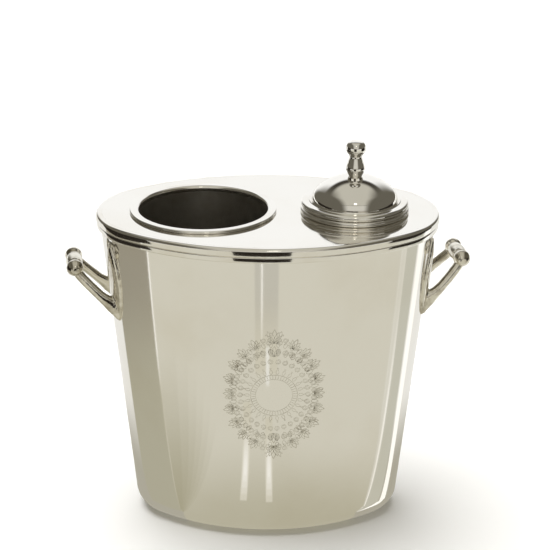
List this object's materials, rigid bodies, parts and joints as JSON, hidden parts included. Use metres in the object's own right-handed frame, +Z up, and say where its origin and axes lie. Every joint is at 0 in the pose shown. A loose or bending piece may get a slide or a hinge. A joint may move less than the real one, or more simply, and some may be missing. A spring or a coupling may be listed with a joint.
{
  "type": "champagne bucket",
  "caption": "Oval tapered metal wine bucket whose lift-off deck carries a hanging bottle sleeve and a domed ice-hatch lid, with a cast loop handle at each end.",
  "frame": {"origin": "centre of the flat base, on the table", "axes": "+X along the oval's long axis towards the ice hatch, +Y towards the back, +Z up"},
  "size_m": [0.3196, 0.178, 0.3135],
  "materials": {
    "polished_plate": "mirror-polished warm silver plate on spun and rolled sheet",
    "polished_moulding": "mirror-polished silver plate on drawn wire, rings and turned parts",
    "cast_handle": "hand-polished plated casting, slightly uneven, darker in the creases",
    "satin_plate": "satin silver plate on the inside faces",
    "steel_fastener": "turned and plated steel"
  },
  "bodies": {
    "bucket": {"body_wall": "polished_plate", "base_pan": "polished_plate", "body_rim": "polished_moulding", "left_grip": "cast_handle", "left_front_leg": "cast_handle", "left_rear_leg": "cast_handle", "right_grip": "cast_handle", "right_front_leg": "cast_handle", "right_rear_leg": "cast_handle"},
    "deck": {"deck_plate": "polished_plate", "deck_rim": "polished_moulding", "deck_skirt": "satin_plate", "hatch_collar": "polished_moulding"},
    "bottle_sleeve": {"sleeve_lip": "polished_moulding", "sleeve_tube": "satin_plate", "sleeve_floor": "satin_plate"},
    "ice_lid": {"lid_dome": "polished_plate", "lid_rim": "polished_moulding", "lid_skirt": "satin_plate", "finial": "polished_moulding", "finial_stud": "steel_fastener", "finial_washer": "steel_fastener", "finial_nut": "steel_fastener"}
  },
  "joints": [
    {"name": "deck_lift", "type": "slide", "parent": "bucket", "child": "deck", "axis": [0, 0, 1], "range_m": [0, 0.16]},
    {"name": "sleeve_lift", "type": "slide", "parent": "deck", "child": "bottle_sleeve", "axis": [0, 0, 1], "range_m": [0, 0.16]},
    {"name": "lid_lift", "type": "slide", "parent": "deck", "child": "ice_lid", "axis": [0, 0, 1], "range_m": [0, 0.08]}
  ]
}
